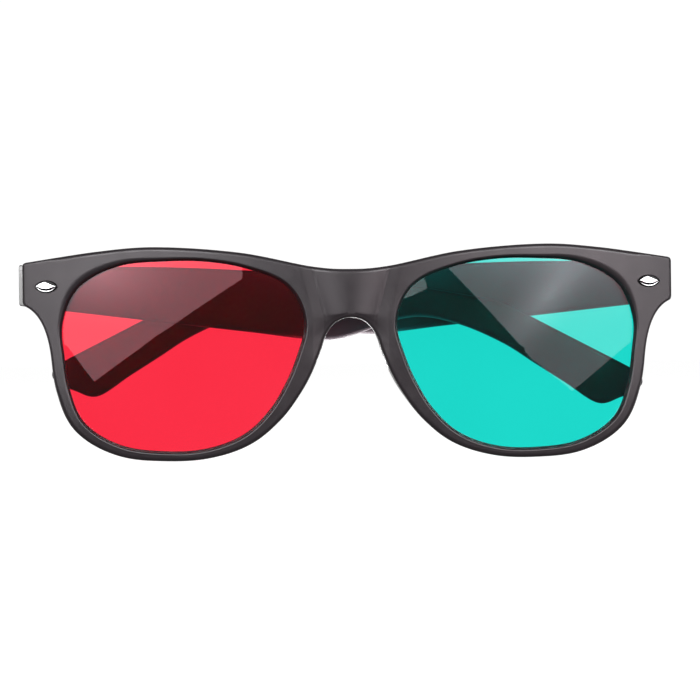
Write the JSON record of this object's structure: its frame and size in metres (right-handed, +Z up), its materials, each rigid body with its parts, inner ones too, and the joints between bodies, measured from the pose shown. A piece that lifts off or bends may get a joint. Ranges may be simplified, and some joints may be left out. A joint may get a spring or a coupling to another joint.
{
  "type": "3d viewing glasses",
  "caption": "Red and cyan 3D viewing glasses with a thick moulded wrap-round front, oval metal studs and hinged temples folded behind the lenses.",
  "frame": {"origin": "the nose saddle: the top of the arch under the bridge, on the front face of the bridge", "axes": "+X to the right in the front view, +Y back towards the wearer, +Z up as worn"},
  "size_m": [0.1472, 0.0268, 0.0473],
  "materials": {
    "frame_plastic": "satin charcoal",
    "temple_plastic": "satin charcoal",
    "red_lens": "clear red",
    "cyan_lens": "clear cyan",
    "stud_metal": "polished",
    "hinge_metal": "nickel plated",
    "screw_metal": "nickel plated"
  },
  "bodies": {
    "front": {"front_frame": "frame_plastic", "red_lens": "red_lens", "cyan_lens": "cyan_lens", "left_stud": "stud_metal", "right_stud": "stud_metal", "left_front_hinge_leaf": "hinge_metal", "right_front_hinge_leaf": "hinge_metal", "left_front_hinge_rivets": "hinge_metal", "right_front_hinge_rivets": "hinge_metal", "left_hinge_screw": "screw_metal", "right_hinge_screw": "screw_metal"},
    "left_temple": {"left_temple": "temple_plastic", "left_temple_hinge_leaf": "hinge_metal"},
    "right_temple": {"right_temple": "temple_plastic", "right_temple_hinge_leaf": "hinge_metal"}
  },
  "joints": [
    {"name": "left_hinge", "type": "hinge", "parent": "front", "child": "left_temple", "pos_m": [-0.0691, 0.01998, 0.0076], "axis": [0, 0, 1], "range_deg": [0, 96.37]},
    {"name": "right_hinge", "type": "hinge", "parent": "front", "child": "right_temple", "pos_m": [0.0691, 0.01998, 0.0076], "axis": [0, 0, -1], "range_deg": [0, 93.63]}
  ]
}
